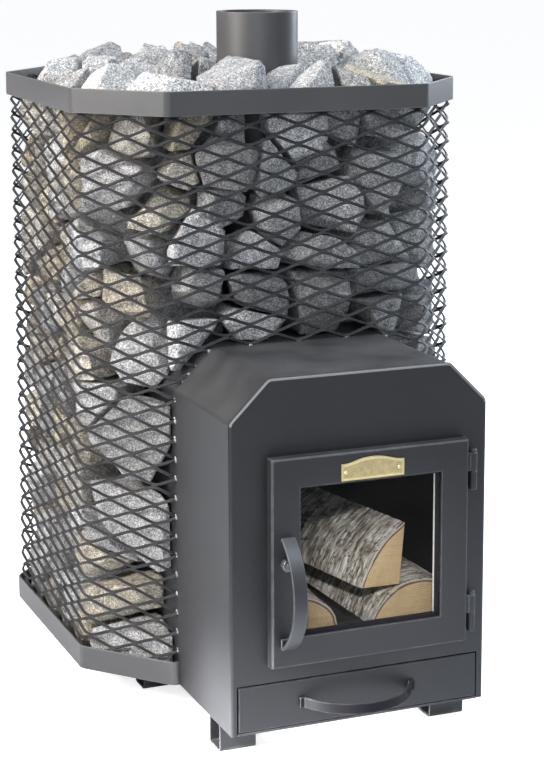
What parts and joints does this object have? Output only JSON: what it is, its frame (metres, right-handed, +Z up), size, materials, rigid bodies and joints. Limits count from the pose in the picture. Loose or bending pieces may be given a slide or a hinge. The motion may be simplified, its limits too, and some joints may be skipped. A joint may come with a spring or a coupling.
{
  "type": "sauna heater stove",
  "caption": "Wood-burning sauna stove: a firebox tunnel with a glazed door and ash drawer runs into an octagonal expanded-metal cage of stones round a flue.",
  "frame": {"origin": "middle of the bounding box on the floor", "axes": "+Z up, the fire door faces -Y, +X to the right as seen from the door"},
  "size_m": [0.573, 0.834, 0.947],
  "materials": {
    "black_paint": "satin charcoal heat paint",
    "cage_paint": "satin dark grey heat paint",
    "cast_iron": "raw casting",
    "bare_plate": "bare mill plate, heat tinted",
    "turned_steel": "turned",
    "brass": "brushed brass",
    "ceramic_glass": "clear ceramic glass with a smoky tint",
    "white_rope": "woven glass-fibre tape",
    "grey_rope": "graphited glass-fibre rope",
    "granite": "split grey granite, speckled",
    "firewood": "split birch with bark"
  },
  "bodies": {
    "stove": {"baffle_ledge_left": "bare_plate", "baffle_ledge_right": "bare_plate", "baffle_plate": "bare_plate", "bottom_band": "cage_paint", "bottom_plate": "black_paint", "cage_floor": "black_paint", "cage_mesh": "cage_paint", "drawer_guide_left": "bare_plate", "drawer_guide_right": "bare_plate", "fire_grate": "cast_iron", "firebox_back": "black_paint", "firebox_shell": "black_paint", "flue_stub": "cage_paint", "foot_front_left": "black_paint", "foot_front_right": "black_paint", "foot_middle_left": "black_paint", "foot_middle_right": "black_paint", "foot_rear_left": "black_paint", "foot_rear_right": "black_paint", "frame_knuckle_lower": "black_paint", "frame_knuckle_upper": "black_paint", "front_plate": "black_paint", "hearth_plate": "bare_plate", "hinge_pin_lower": "turned_steel", "hinge_pin_upper": "turned_steel", "log_left": "firewood", "log_right": "firewood", "log_top": "firewood", "stones_back": "granite", "stones_core": "granite", "stones_front": "granite", "stones_left": "granite", "stones_right": "granite", "stones_top_back": "granite", "stones_top_front": "granite", "stones_top_left": "granite", "stones_top_right": "granite", "top_band": "cage_paint"},
    "fire_door": {"door_frame": "black_paint", "door_glass": "ceramic_glass", "glass_gasket": "white_rope", "glass_retainer": "bare_plate", "door_seal": "grey_rope", "nameplate": "brass", "door_knuckle_upper": "black_paint", "door_knuckle_lower": "black_paint", "handle_bush": "turned_steel"},
    "door_latch": {"handle_strap": "black_paint", "handle_spindle": "turned_steel", "latch_cam": "bare_plate", "spindle_nut": "bare_plate"},
    "ash_drawer": {"drawer_front": "black_paint", "ash_tray": "bare_plate", "drawer_pull": "black_paint"}
  },
  "joints": [
    {"name": "door_hinge", "type": "hinge", "parent": "stove", "child": "fire_door", "pos_m": [0.1575, -0.3595, 0.267], "axis": [0, 0, 1], "range_deg": [0, 130]},
    {"name": "handle_turn", "type": "hinge", "parent": "fire_door", "child": "door_latch", "pos_m": [-0.1105, -0.368, 0.2675], "axis": [0, 1, 0], "range_deg": [0, 90]},
    {"name": "drawer_slide", "type": "slide", "parent": "stove", "child": "ash_drawer", "axis": [0, -1, 0], "range_m": [0, 0.36]}
  ]
}
